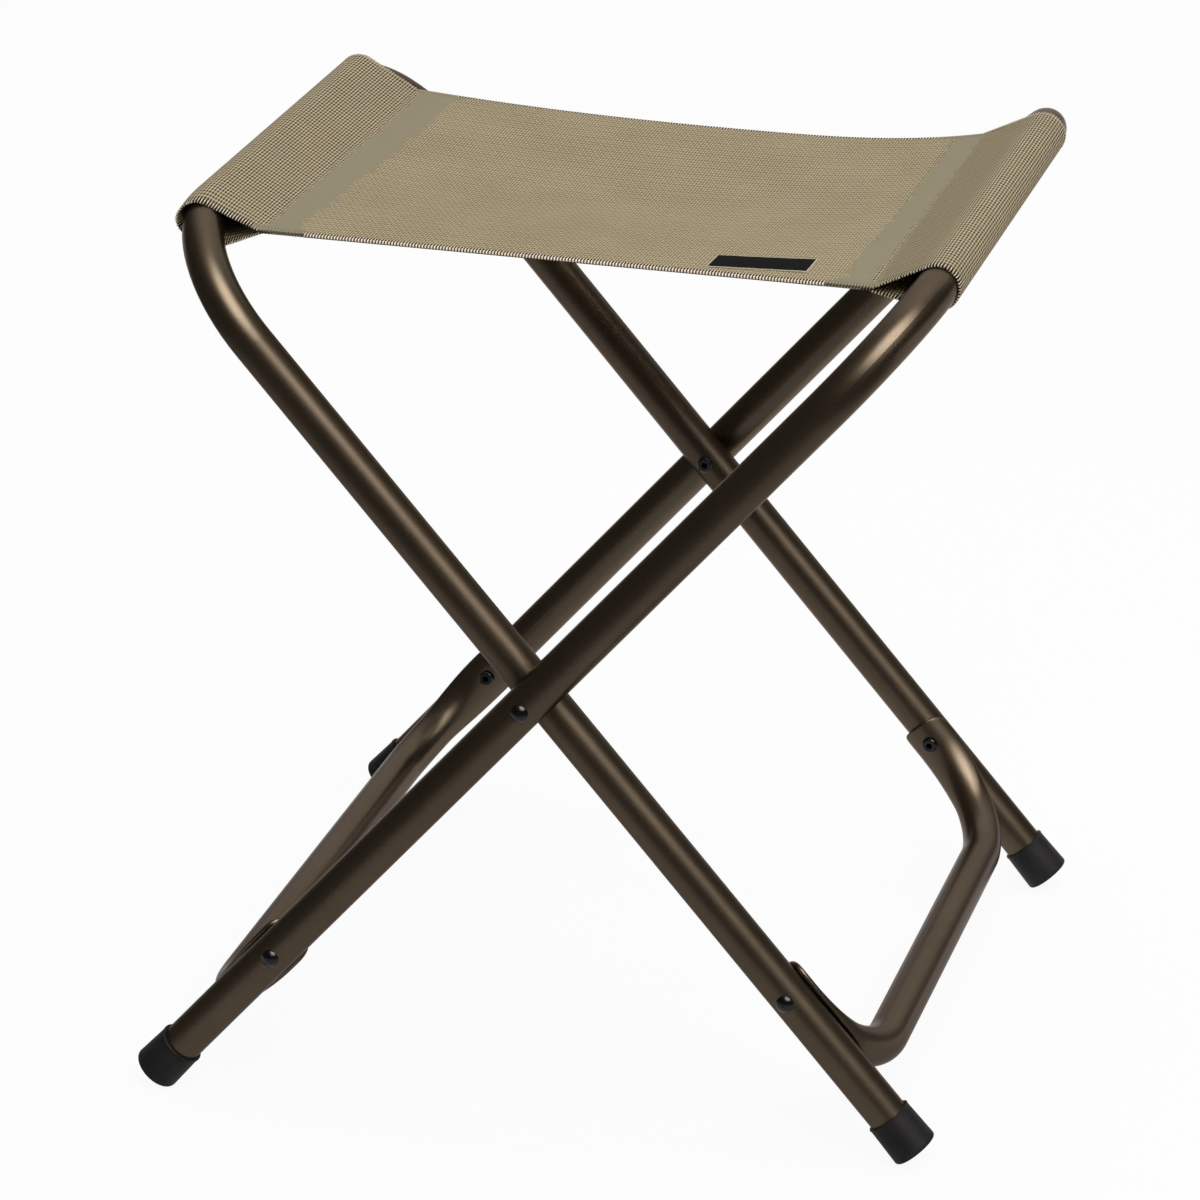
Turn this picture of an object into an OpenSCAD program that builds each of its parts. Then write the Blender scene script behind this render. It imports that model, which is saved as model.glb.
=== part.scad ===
// Folding camp stool: two crossed U-frames of round tube, pinned where they
// cross, with a sheet of mesh cloth stretched between the two top rails.
// X runs from rail to rail, Y along the rails, Z up. The origin is on the
// floor under the middle of the stool. Front is -Y. The outer frame has its
// top rail at the right, and the inner frame has its top rail at the left.

/* [Tubes] */
// Outside diameter of every tube
tube_d = 20; // [18:0.5:24]
// Wall of every tube
tube_wall = 1.2; // [0.8:0.1:2]

/* [Frames] */
// Angle between each leg and the floor when the stool stands open
lean = 48.9; // [46:0.1:54]
// Distance along a leg from the pivot up to the top rail's axis
rail_reach = 272.5; // [240:0.5:320]
// Distance along a leg from the pivot down to the end of the foot cap
foot_reach = 288; // [280:0.5:340]
// Distance between the axes of the inner frame's two legs
inner_span = 326; // [310:1:400]
// Free space between an inner leg and the outer leg beside it
leg_gap = 1.3; // [1:0.1:3]
// Bend radius of the frames' top corners, to the tube's axis
corner_r = 60; // [50:1:70]

/* [Stretchers] */
// Distance along a leg from the end of its foot cap up to the crossbar's axis
crossbar_up = 41; // [33:0.5:46]
// Bend radius of the stretchers, to the tube's axis
stretcher_bend = 53; // [50:1:60]
// Length of the flattened end past the bend
saddle_len = 14; // [13:0.5:20]
// Length of the flattened end past its rivet
saddle_tip = 11; // [9:0.5:11]
// Length over which the flattened end narrows to its round tip
tip_round = 9; // [7:0.5:11]
// Slit left between the two tube walls in the flattened end
saddle_slit = 0.6; // [0.4:0.1:1]
// Half of the angle that the flattened end wraps round the leg
saddle_wrap = 66; // [55:1:70]
// Clearance between the flattened end and the leg
saddle_gap = 0.3; // [0.25:0.05:0.5]

/* [Rivets] */
// Diameter of the rivets' shanks
rivet_d = 5; // [4:0.1:6]
// Diameter of the domed heads
head_d = 8.6; // [8:0.1:10]
// Height of the domed heads above the tube
head_h = 2.2; // [1.6:0.1:3]
// Outside diameter of the rolled ends
roll_d = 8; // [7.8:0.1:9]
// Thickness of the rolled ends
roll_t = 2; // [1.4:0.1:2.2]
// Diameter of the hollow in the rolled ends
hollow_d = 3.2; // [2:0.1:3.4]
// Depth of the hollow in the rolled ends
hollow_depth = 6; // [3:0.5:10]
// Radial clearance of the rivets in the holes of their own frame
rivet_fit = 0.03; // [0.02:0.01:0.05]
// Radial running clearance of the pivot rivets in the inner frame's holes
pivot_fit = 0.06; // [0.04:0.01:0.1]
// Outside diameter of the washers between the legs
washer_d = 13; // [10:0.5:18]
// Clearance between a washer and each leg beside it
washer_gap = 0.1; // [0.08:0.01:0.15]

/* [Foot caps] */
// Length of a foot cap along the leg
cap_len = 21.5; // [16:0.5:30]
// Wall of a foot cap at its rim
cap_wall = 1.2; // [0.8:0.1:2.5]
// Amount by which a foot cap's radius grows towards its end
cap_flare = 0.6; // [0:0.1:1.5]
// Thickness of a foot cap's end
cap_end = 3.5; // [2:0.5:6]
// Rounding of a foot cap's end edge
cap_edge = 1.5; // [0.5:0.1:2]
// Height and width of the bead round a foot cap's rim
cap_bead = 0.5; // [0.2:0.1:1]
// Clearance between a foot cap and the leg inside it
cap_fit = 0.03; // [0.02:0.01:0.1]
// Depth of the flat worn on each foot cap where it meets the floor
floor_flat = 0.8; // [0.6:0.1:1]

/* [Seat cloth] */
// Width of the cloth along the rails
cloth_w = 250; // [220:1:256]
// Thickness of one layer of cloth
cloth_t = 1; // [0.6:0.1:1.4]
// Clearance between the cloth and the rail that it wraps
cloth_gap = 0.3; // [0.25:0.05:0.5]
// Slot between a sleeve's edges and the sheets that run on from them
sleeve_slot = 0.35; // [0.3:0.05:0.6]
// Distance from a rail's axis in to the seam that closes its sleeve
seam_in = 30.6; // [26:0.2:40]
// Drop from a rail's axis down to the seam
seam_drop = 4.6; // [2:0.2:8]
// Width of the welded seam, where the cloth's two layers overlap
seam_w = 24; // [16:1:30]
// Sag of the cloth's front and rear edges between the seams
edge_sag = 2.5; // [1:0.5:8]
// Further sag of the cloth half way between those edges
middle_sag = 6; // [2:0.5:12]
// Width of the hems folded under the front and rear edges
hem_w = 18; // [10:1:24]
// Clearance between two layers of cloth that lie on each other
layer_gap = 0.14; // [0.12:0.01:0.2]

/* [Label] */
// Length of the bare label along the front edge
label_l = 48; // [30:1:70]
// Width of the label
label_w = 20; // [10:0.5:24]
// Thickness of the label
label_t = 0.4; // [0.3:0.1:0.8]
// Distance from the right seam's weld in to the label
label_gap = 10; // [4:0.5:30]
// Distance from the front edge in to the label
label_in = 16; // [6:0.5:24]

/* [Hidden] */
$fn = 64;

bronze = [0.24, 0.19, 0.16];
black = [0.07, 0.07, 0.07];
khaki = [0.60, 0.55, 0.42];
sage = [0.54, 0.52, 0.43];

tube_r = tube_d / 2;
bore_r = tube_r - tube_wall;
rivet_r = rivet_d / 2;
// Depth from the tube's crest to where a head's rim meets the tube
head_cup = tube_r - sqrt(tube_r * tube_r - head_d * head_d / 4) + 0.2;
inner_y = inner_span / 2;
outer_y = inner_y + tube_d + leg_gap;

// Foot cap radii, and how far down a cap reaches below the pivot
cap_rim_r = tube_r + cap_wall;
cap_end_r = cap_rim_r + cap_flare;
foot_drop = (foot_reach - cap_edge) * sin(lean)
          + (cap_end_r - cap_edge) * cos(lean) + cap_edge;
pivot_h = foot_drop - floor_flat;

// Top rails, as distances from the pivot and heights above the floor
rail_x = rail_reach * cos(lean);
rail_z = pivot_h + rail_reach * sin(lean);

// Flattened end of a stretcher: its thickness, the radius of its middle
// surface round the leg, and half of its breadth along that surface
saddle_t = 2 * tube_wall + saddle_slit;
saddle_r = tube_r + saddle_gap + saddle_t / 2;
saddle_half = saddle_r * saddle_wrap * PI / 180 + saddle_t / 2;

// Places down a leg from the pivot: the crossbar, the middle of its bend, the
// flattened end's tip and its rivet. The bend's inner side runs smoothly on
// into the flattened end, which sets how far in from the leg its middle is.
crossbar_reach = foot_reach - crossbar_up;
bend_a = crossbar_reach - stretcher_bend;
saddle_end_a = bend_a - saddle_len;
rivet_reach = saddle_end_a + saddle_tip;
bend_w = stretcher_bend - tube_r + saddle_r + saddle_t / 2;
// Softening of the edge where the bend's outer side begins to be pressed in
press_soft = 1.5;

// Cloth: the radius of its middle surface on the rail, the seam, and the
// directions in which the cloth leaves the rail above and below the seam
wrap_r = tube_r + cloth_gap + cloth_t / 2;
seam_x = rail_x - seam_in;
seam_z = rail_z - seam_drop;
seam_lean = asin(wrap_r / norm([seam_in, seam_drop]));
seam_fall = atan2(seam_drop, seam_in);
leave_top = 90 - seam_lean - seam_fall;
leave_low = 270 + seam_lean - seam_fall;
slot_turn = sleeve_slot / wrap_r * 180 / PI;
half_w = cloth_w / 2;
// Places across the cloth where its shape is set, closer near the edges
CROSS = [-1, -0.94, -0.88, -0.82, -0.6, -0.3, 0, 0.3, 0.6, 0.82, 0.88, 0.94, 1];

// ---- placing ----

// Draws children in a frame's own plane: local X runs up the legs from the
// pivot, local Y along the rail and local Z square to both. The inner frame
// is drawn half a turn round, so its front is at local +Y.
module on_outer() {
    translate([0, 0, pivot_h]) rotate([0, -lean, 0]) children();
}

module on_inner() {
    rotate([0, 0, 180]) on_outer() children();
}

// Draws children with local Z along side * Y, starting from the leg's axis
module across_leg(reach, leg_y, side) {
    translate([-reach, side * leg_y, 0]) rotate([-side * 90, 0, 0]) children();
}

// ---- frames ----

// A U of solid round bar: two legs, two corners and the top rail
module u_bar(leg_y, r, leg_end, extra = 0) {
    bend_x = rail_reach - corner_r;
    bend_y = leg_y - corner_r;
    translate([rail_reach, 0, 0]) rotate([90, 0, 0])
        cylinder(r = r, h = 2 * bend_y, center = true);
    for (side = [-1, 1]) {
        translate([bend_x, side * bend_y, 0])
            rotate([0, 0, side > 0 ? 0 : -90])
            rotate_extrude(angle = 90) translate([corner_r, 0]) circle(r);
        translate([bend_x, side * leg_y, 0]) rotate([0, -90, 0])
            cylinder(r = r, h = bend_x + leg_end + extra);
    }
}

module u_tube(leg_y, pivot_hole_r) {
    leg_end = foot_reach - cap_end;
    difference() {
        u_bar(leg_y, tube_r, leg_end);
        u_bar(leg_y, bore_r, leg_end, 1);
        for (side = [-1, 1]) {
            across_leg(0, leg_y, side)
                cylinder(r = pivot_hole_r, h = tube_d + 2, center = true);
            across_leg(rivet_reach, leg_y, side)
                cylinder(r = rivet_r + rivet_fit, h = tube_d + 2, center = true);
        }
    }
}

module outer_frame_tube() {
    color(bronze) on_outer() u_tube(outer_y, rivet_r + rivet_fit);
}

module inner_frame_tube() {
    color(bronze) on_inner() u_tube(inner_y, rivet_r + pivot_fit);
}

// ---- stretchers ----

function mix(k, p, q) = p * (1 - k) + q * k;
function ease(k) = k * k * (3 - 2 * k);

// Outline of a round tube, and of the tube pressed flat, point for point:
// 6 steps round each end and 6 along each flat side
RIM = 24;
function round_at(i, r) = r * [cos(i * 360 / RIM - 45), sin(i * 360 / RIM - 45)];
function flat_at(i, half, t) =
    let(j = i % 12, side = i < 12 ? 1 : -1, e = half - t / 2)
    side * (j <= 6 ? [e + t / 2 * cos(j * 30 - 90), t / 2 * sin(j * 30 - 90)]
                   : [mix((j - 6) / 6, e, -e), t / 2]);

// A point of the flat outline, curled round the leg's axis
function curl(p) =
    let(a = p[0] / saddle_r * 180 / PI)
    [(saddle_r + p[1]) * sin(a), (saddle_r + p[1]) * cos(a) - saddle_r];

// A ring of points round the middle point c = [a, w], where a runs down the leg
// from the pivot and w inwards from the leg's axis. It is cut square to the
// direction d and pressed flat by k. A cut of 0 gives the outer surface, and a
// cut of one wall gives the inner.
function section(leg_y, c, d, k, half, cut) =
    [for (i = [0 : RIM - 1])
        let(q = mix(k, round_at(i, tube_r - cut),
                    curl(flat_at(i, half - cut, saddle_t - 2 * cut))))
        [q[1] * sin(d) - c[0], leg_y - c[1] - q[1] * cos(d), q[0]]];

// Half-breadth of the flattened end at a distance from its tip, which is round
function tip_half(from_tip) =
    let(k = min(max(from_tip, 0) / tip_round, 1))
    saddle_half * (0.4 + 0.6 * sqrt(1 - pow(1 - k, 2)));

// Distances from the bend's middle to the tube's inner and outer sides, in the
// direction d, which is 90 at the crossbar and 0 square to the leg. The inner
// side is an arc, and the outer is pressed in to its clearance from the leg.
near_side = stretcher_bend - tube_r;
function soft_min(p, q) = min(p, q) - press_soft * ln(1 + exp(-abs(p - q) / press_soft));
function far_side(d) =
    soft_min(stretcher_bend + tube_r, (bend_w - tube_r - saddle_gap) / max(cos(d), 0.05));

// Half of a stretcher from its crossbar to a tip: the bend, along which the
// tube is pressed flat, and the flattened end
BEND_STEPS = 15;
// Distances of the last sections from the tip, as shares of its rounding
TIP_STEPS = [1.05, 0.8, 0.5, 0.25, 0.1, 0];
function half_rows(leg_y, cut) = concat(
    [for (i = [0 : BEND_STEPS])
        let(d = 90 * (1 - i / BEND_STEPS),
            k = min(1, (tube_d - far_side(d) + near_side) / (tube_d - saddle_t)),
            m = (near_side + far_side(d)) / 2)
        section(leg_y, [bend_a + m * sin(d), bend_w - m * cos(d)], d, k, saddle_half, cut)],
    [for (k = TIP_STEPS)
        let(s = k * tip_round)
        section(leg_y, [saddle_end_a + s, saddle_r], 0, 1, tip_half(s - cut), cut)]);

function mirrored(row) = [for (p = row) [p[0], -p[1], p[2]]];
function whole_rows(half) = concat(
    [for (j = [len(half) - 1 : -1 : 0]) half[j]],
    [for (row = half) mirrored(row)]);

// A pipe between two skins, each given as rows of points with a ring in each
module pipe(outer, inner) {
    n = len(outer[0]);
    m = len(outer);
    function at(j, i, skin) = (skin * m + j) * n + i % n;
    function quad(a, b, c, d) = [[a, b, c], [a, c, d]];
    polyhedron(
        points = [for (skin = [outer, inner]) for (row = skin) for (p = row) p],
        faces = concat(
            [for (j = [0 : m - 2]) for (i = [0 : n - 1])
                each quad(at(j, i, 0), at(j, i + 1, 0), at(j + 1, i + 1, 0), at(j + 1, i, 0))],
            [for (j = [0 : m - 2]) for (i = [0 : n - 1])
                each quad(at(j, i, 1), at(j + 1, i, 1), at(j + 1, i + 1, 1), at(j, i + 1, 1))],
            [for (i = [0 : n - 1])
                each quad(at(0, i, 0), at(0, i, 1), at(0, i + 1, 1), at(0, i + 1, 0))],
            [for (i = [0 : n - 1]) each quad(at(m - 1, i, 0), at(m - 1, i + 1, 0),
                                             at(m - 1, i + 1, 1), at(m - 1, i, 1))]));
}

module stretcher(leg_y) {
    difference() {
        pipe(whole_rows(half_rows(leg_y, 0)), whole_rows(half_rows(leg_y, tube_wall)));
        for (side = [-1, 1]) across_leg(rivet_reach, leg_y, side)
            translate([0, 0, -tube_r - saddle_t - 2])
            cylinder(r = rivet_r + rivet_fit, h = tube_r);
    }
}

module outer_stretcher() { color(bronze) on_outer() stretcher(outer_y); }
module inner_stretcher() { color(bronze) on_inner() stretcher(inner_y); }

// ---- rivets and washers ----

// Dome of height h on a disc of radius r
module dome(r, h) {
    ball = (r * r + h * h) / (2 * h);
    intersection() {
        translate([0, 0, h - ball]) sphere(r = ball, $fn = 96);
        cylinder(r = r, h = h + 1);
    }
}

// A rivet through a leg, drawn with Z outwards and Z = 0 on the leg's axis.
// Its rolled end lies inwards of in_z, and its head is cupped to the tube.
module rivet(in_z) {
    difference() {
        translate([0, 0, in_z - roll_t])
            cylinder(r = rivet_r, h = tube_r + head_h / 2 - in_z + roll_t);
        translate([0, 0, in_z - roll_t - 1])
            cylinder(r = hollow_d / 2, h = hollow_depth + 1);
    }
    difference() {
        translate([0, 0, tube_r - head_cup]) {
            cylinder(r = head_d / 2, h = head_cup + 0.2);
            translate([0, 0, head_cup + 0.2]) dome(head_d / 2, head_h - 0.2);
        }
        rotate([0, 90, 0])
            cylinder(r = tube_r + rivet_fit, h = 3 * head_d, center = true);
        translate([0, 0, tube_r - 2]) cylinder(r = rivet_r - 0.5, h = 2.2);
    }
    ring_r = (roll_d / 2 - hollow_d / 2) / 2;
    translate([0, 0, in_z - roll_t / 2]) difference() {
        union() {
            cylinder(r = roll_d / 2 - roll_t / 2, h = roll_t, center = true);
            rotate_extrude() translate([roll_d / 2 - roll_t / 2, 0]) circle(roll_t / 2);
        }
        cylinder(r = hollow_d / 2, h = roll_t + 1, center = true);
    }
}

module pivot_rivet(side) {
    inner_face = inner_y - tube_r - washer_gap;
    color(black) on_outer() across_leg(0, outer_y, side) rivet(inner_face - outer_y);
}

module stretcher_rivet(leg_y, side) {
    across_leg(rivet_reach, leg_y, side)
        rivet(-tube_r - saddle_gap - saddle_t - rivet_fit);
}

module front_pivot_rivet() { pivot_rivet(-1); }
module rear_pivot_rivet() { pivot_rivet(1); }
module front_left_stretcher_rivet() {
    color(black) on_outer() stretcher_rivet(outer_y, -1);
}
module rear_left_stretcher_rivet() {
    color(black) on_outer() stretcher_rivet(outer_y, 1);
}
module front_right_stretcher_rivet() {
    color(black) on_inner() stretcher_rivet(inner_y, 1);
}
module rear_right_stretcher_rivet() {
    color(black) on_inner() stretcher_rivet(inner_y, -1);
}

module pivot_washer(side) {
    color(black) on_outer() across_leg(0, inner_y + tube_r + washer_gap, side)
        difference() {
            cylinder(d = washer_d, h = leg_gap - 2 * washer_gap);
            translate([0, 0, -1]) cylinder(r = rivet_r + pivot_fit, h = leg_gap + 2);
        }
}

module front_pivot_washer() { pivot_washer(-1); }
module rear_pivot_washer() { pivot_washer(1); }

// ---- foot caps ----

module foot_cap(leg_y, side) {
    fit_r = tube_r + cap_fit;
    ball = [cap_end_r - cap_edge, cap_edge];
    outline = concat(
        [[0, 0]],
        [for (a = [-90 : 15 : 0]) ball + cap_edge * [cos(a), sin(a)]],
        [[cap_rim_r, cap_len - 2 * cap_bead],
         [cap_rim_r + cap_bead / 2, cap_len - 1.5 * cap_bead],
         [cap_rim_r + cap_bead / 2, cap_len - cap_bead / 2],
         [cap_rim_r, cap_len],
         [fit_r, cap_len], [fit_r, cap_end], [0, cap_end]]);
    translate([-foot_reach, side * leg_y, 0]) rotate([0, 90, 0])
        rotate_extrude() polygon(outline);
}

module above_floor() {
    wide = 4 * foot_reach;
    difference() {
        children();
        translate([-wide / 2, -wide / 2, -tube_d]) cube([wide, wide, tube_d]);
    }
}

module front_left_foot_cap() {
    color(black) above_floor() on_outer() foot_cap(outer_y, -1);
}
module rear_left_foot_cap() {
    color(black) above_floor() on_outer() foot_cap(outer_y, 1);
}
module front_right_foot_cap() {
    color(black) above_floor() on_inner() foot_cap(inner_y, 1);
}
module rear_right_foot_cap() {
    color(black) above_floor() on_inner() foot_cap(inner_y, -1);
}

// ---- cloth ----

// How far the rail has dropped down its bend at y, for a bend that starts at
// bend_y, and how much lower the cloth's under layer must run to clear it
function past_bend(y, bend_y) = max(0, abs(y) - bend_y);
function bend_cos(y, bend_y) = sqrt(1 - pow(past_bend(y, bend_y) / corner_r, 2));
function room(y, bend_y) =
    let(c = bend_cos(y, bend_y)) 1.2 * corner_r * (1 - c) + tube_r * (1 / c - 1);

// Point of the cloth's middle surface at an angle round the left rail
function on_wrap(a, y, bend_y) =
    let(down = ease(min(max((a - 205) / 30, 0), 1)) * room(y, bend_y))
    [-rail_x + wrap_r * cos(a) + down * cos(lean),
     rail_z + wrap_r * sin(a) - down * sin(lean)];

// Height of the panel's middle surface between the seams
function sag(y) = edge_sag + middle_sag * (1 - pow(y / half_w, 2));
function panel_z(x, y) = seam_z - sag(y) * (1 - pow(x / seam_x, 2));

// A sheet of even thickness t: rows of [x, z] points, one row for each y
module sheet(ys, rows, t) {
    m = len(ys);
    n = len(rows[0]);
    function along(row, i) = row[min(i + 1, n - 1)] - row[max(i - 1, 0)];
    function out(row, i) = let(d = along(row, i)) [-d[1], d[0]] / norm(d);
    function vertex(j, i, side) =
        let(p = rows[j][i] + side * t / 2 * out(rows[j], i)) [p[0], ys[j], p[1]];
    function at(j, i, low) = (low * m + j) * n + i;
    function quad(a, b, c, d) = [[a, b, c], [a, c, d]];
    polyhedron(
        points = [for (side = [1, -1]) for (j = [0 : m - 1]) for (i = [0 : n - 1])
            vertex(j, i, side)],
        faces = concat(
            [for (j = [0 : m - 2]) for (i = [0 : n - 2])
                each quad(at(j, i, 0), at(j + 1, i, 0), at(j + 1, i + 1, 0), at(j, i + 1, 0))],
            [for (j = [0 : m - 2]) for (i = [0 : n - 2])
                each quad(at(j, i, 1), at(j, i + 1, 1), at(j + 1, i + 1, 1), at(j + 1, i, 1))],
            [for (i = [0 : n - 2])
                each quad(at(0, i, 0), at(0, i + 1, 0), at(0, i + 1, 1), at(0, i, 1))],
            [for (i = [0 : n - 2]) each quad(at(m - 1, i, 0), at(m - 1, i, 1),
                                             at(m - 1, i + 1, 1), at(m - 1, i + 1, 0))],
            [for (j = [0 : m - 2])
                each quad(at(j, 0, 0), at(j, 0, 1), at(j + 1, 0, 1), at(j + 1, 0, 0))],
            [for (j = [0 : m - 2]) each quad(at(j, n - 1, 0), at(j + 1, n - 1, 0),
                                             at(j + 1, n - 1, 1), at(j, n - 1, 1))]));
}

WRAP_STEPS = 28;
PANEL_STEPS = 20;
crossing = [for (f = CROSS) f * half_w];

// The wrap round the left rail, open towards the seam
module sleeve(bend_y) {
    from = leave_low - slot_turn;
    to = leave_top + slot_turn;
    sheet(crossing, [for (y = crossing)
        [for (i = [0 : WRAP_STEPS]) on_wrap(mix(i / WRAP_STEPS, from, to), y, bend_y)]],
        cloth_t);
}

// The under layer at the left: from below the rail to the seam, then on under
// the panel for the width of the weld
module underlap(bend_y) {
    below = cloth_t + layer_gap;
    sheet(crossing, [for (y = crossing) concat(
        [for (k = [0, 0.5, 0.9])
            mix(k, on_wrap(leave_low, y, bend_y), [-seam_x, seam_z - 1.5 * below])],
        [for (i = [0 : 4]) let(x = -seam_x + mix(i / 4, 1.5 * below, seam_w))
            [x, panel_z(x, y) - below]])],
        cloth_t);
}

// The panel's middle surface at y, from where it leaves the left rail to
// where it leaves the right one
function panel_row(y) =
    let(left = on_wrap(leave_top, y, half_w), seam = [-seam_x, seam_z],
        slope = [for (k = [0, 0.35, 0.7]) mix(k, left, seam)],
        n = len(slope))
    concat(slope,
        [for (i = [0 : PANEL_STEPS]) let(x = mix(i / PANEL_STEPS, -seam_x, seam_x))
            [x, panel_z(x, y)]],
        [for (i = [n - 1 : -1 : 0]) [-slope[i][0], slope[i][1]]]);

module seat_panel() {
    color(khaki) sheet(crossing, [for (y = crossing) panel_row(y)], cloth_t);
}

// A hem under the panel between the two welded seams
module hem(side) {
    end = seam_x - seam_w - 1;
    ys = [for (k = [0, 1]) side * half_w - (side > 0 ? 1 - k : -k) * hem_w];
    sheet(ys, [for (y = ys) [for (i = [0 : PANEL_STEPS])
        let(x = mix(i / PANEL_STEPS, -end, end))
        [x, panel_z(x, y) - cloth_t - layer_gap]]],
        cloth_t);
}

module left_sleeve() { color(khaki) sleeve(inner_y - corner_r); }
module right_sleeve() {
    color(khaki) mirror([1, 0, 0]) sleeve(outer_y - corner_r);
}
module left_underlap() { color(sage) underlap(inner_y - corner_r); }
module right_underlap() {
    color(sage) mirror([1, 0, 0]) underlap(outer_y - corner_r);
}
module front_hem() { color(khaki) hem(-1); }
module rear_hem() { color(khaki) hem(1); }

module label() {
    up = cloth_t / 2 + label_t / 2 + layer_gap;
    ys = [for (k = [0, 0.5, 1]) -half_w + label_in + k * label_w];
    end = seam_x - seam_w - label_gap;
    color(black) sheet(ys, [for (y = ys) [for (i = [0 : 6])
        let(x = mix(i / 6, end - label_l, end)) [x, panel_z(x, y) + up]]],
        label_t);
}

outer_frame_tube();
inner_frame_tube();
outer_stretcher();
inner_stretcher();
front_left_foot_cap();
rear_left_foot_cap();
front_right_foot_cap();
rear_right_foot_cap();
front_pivot_rivet();
rear_pivot_rivet();
front_pivot_washer();
rear_pivot_washer();
front_left_stretcher_rivet();
rear_left_stretcher_rivet();
front_right_stretcher_rivet();
rear_right_stretcher_rivet();
left_sleeve();
right_sleeve();
seat_panel();
left_underlap();
right_underlap();
front_hem();
rear_hem();
label();
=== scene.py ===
"""Folding camp stool: bronze tube frames, black rubber feet and a mesh cloth seat."""
import math
import random

import bmesh
import bpy
from mathutils import Euler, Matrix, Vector


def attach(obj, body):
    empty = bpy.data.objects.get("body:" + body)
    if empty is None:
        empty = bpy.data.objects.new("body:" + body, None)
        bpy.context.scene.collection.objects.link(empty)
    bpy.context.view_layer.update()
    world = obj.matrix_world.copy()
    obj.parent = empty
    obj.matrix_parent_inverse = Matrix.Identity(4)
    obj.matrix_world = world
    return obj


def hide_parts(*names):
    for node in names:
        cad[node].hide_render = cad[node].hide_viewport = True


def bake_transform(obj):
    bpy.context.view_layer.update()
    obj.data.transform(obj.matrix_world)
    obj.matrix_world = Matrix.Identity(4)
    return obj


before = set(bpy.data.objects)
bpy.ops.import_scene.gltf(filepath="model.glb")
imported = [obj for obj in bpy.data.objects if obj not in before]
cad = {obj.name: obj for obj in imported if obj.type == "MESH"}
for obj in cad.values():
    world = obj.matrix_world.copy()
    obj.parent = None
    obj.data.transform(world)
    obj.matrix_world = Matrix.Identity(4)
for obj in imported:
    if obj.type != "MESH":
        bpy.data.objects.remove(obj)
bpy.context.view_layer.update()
scene = bpy.context.scene

# Sizes of the stool, in metres, as its frames and cloth are made
TUBE_R = 0.010
WALL = 0.0012
LEAN = math.radians(48.9)
PIVOT_H = 0.22336688
RAIL_REACH = 0.2725
CORNER_R = 0.060
OUTER_Y, INNER_Y = 0.1843, 0.163
RAIL_X = RAIL_REACH * math.cos(LEAN)
RAIL_Z = PIVOT_H + RAIL_REACH * math.sin(LEAN)
RIVET_REACH = 0.191


def mix(k, p, q):
    """From p to q as k goes from 0 to 1."""
    return p * (1 - k) + q * k


def ease(k):
    """Smooth rise from 0 to 1, level at both ends."""
    k = min(max(k, 0), 1)
    return k * k * (3 - 2 * k)


# ---- camera ----

camera_data = bpy.data.cameras.new("camera")
camera_data.sensor_width = 36
camera_data.lens = 163.14
camera_data.shift_x = -0.00355
camera_data.shift_y = -0.0484
camera_data.clip_end = 20
camera = bpy.data.objects.new("camera", camera_data)
camera.location = (0.66081, -2.44257, 1.22699)
camera.rotation_euler = Euler([math.radians(a) for a in (68.631, -0.348, 15.550)])
scene.collection.objects.link(camera)
scene.camera = camera

# ---- node helpers ----


class Graph:
    """Adds nodes to one material or world and links them."""

    def __init__(self, owner):
        owner.use_nodes = True
        self.tree = owner.node_tree

    def add(self, kind, *inputs, **settings):
        node = self.tree.nodes.new("ShaderNode" + kind)
        for key, value in settings.items():
            setattr(node, key, value)
        for place, value in enumerate(inputs):
            self.feed(node, place, value)
        return node

    def feed(self, node, place, value):
        if value is None:
            return
        if isinstance(value, bpy.types.Node):
            value = value.outputs[0]
        if isinstance(value, bpy.types.NodeSocket):
            self.tree.links.new(value, node.inputs[place])
        else:
            node.inputs[place].default_value = value

    def math(self, operation, *inputs, clamp=False):
        return self.add("Math", *inputs, operation=operation, use_clamp=clamp)

    def times(self, first, *others):
        """Product of all its values."""
        for other in others:
            first = self.math("MULTIPLY", first, other)
        return first

    def scale(self, value, factor, plus=0.0, clamp=False):
        """A value times a factor, plus another value."""
        return self.math("MULTIPLY_ADD", value, factor, plus, clamp=clamp)

    def wave(self, phase):
        """Cosine that is 1 at every whole number."""
        return self.math("COSINE", self.math("MULTIPLY", phase, 2 * math.pi))

    def step(self, value, low, high):
        """0 below low, 1 above high and smooth between."""
        return self.add("MapRange", value, low, high, 0.0, 1.0,
                        interpolation_type="SMOOTHSTEP")

    def noise(self, where, scale, detail=2.0, rough=0.5):
        node = self.add("TexNoise", None, None, scale, detail, rough)
        self.feed(node, "Vector", where)
        return node

    def blend(self, factor, a, b):
        """Colour a where the factor is 0 and b where it is 1."""
        node = self.add("Mix", data_type="RGBA")
        for place, value in ((0, factor), (6, a), (7, b)):
            self.feed(node, place, value)
        return node.outputs[2]

    def bump(self, height, strength, distance, under=None):
        node = self.add("Bump", strength, distance)
        self.feed(node, "Height", height)
        self.feed(node, "Normal", under)
        return node


def finish_on(name):
    """A new material: its graph, its shader and its Object coordinates."""
    material = bpy.data.materials.new(name)
    graph = Graph(material)
    shader = graph.tree.nodes["Principled BSDF"]
    where = graph.add("TexCoord").outputs["Object"]
    return material, graph, shader, where


def rgb(r, g, b):
    """Colour written as screen values 0 to 255, as linear numbers."""
    def linear(c):
        c /= 255
        return c / 12.92 if c <= 0.04045 else ((c + 0.055) / 1.055) ** 2.4
    return (linear(r), linear(g), linear(b), 1.0)


# ---- world, floor and lamps ----

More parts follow.
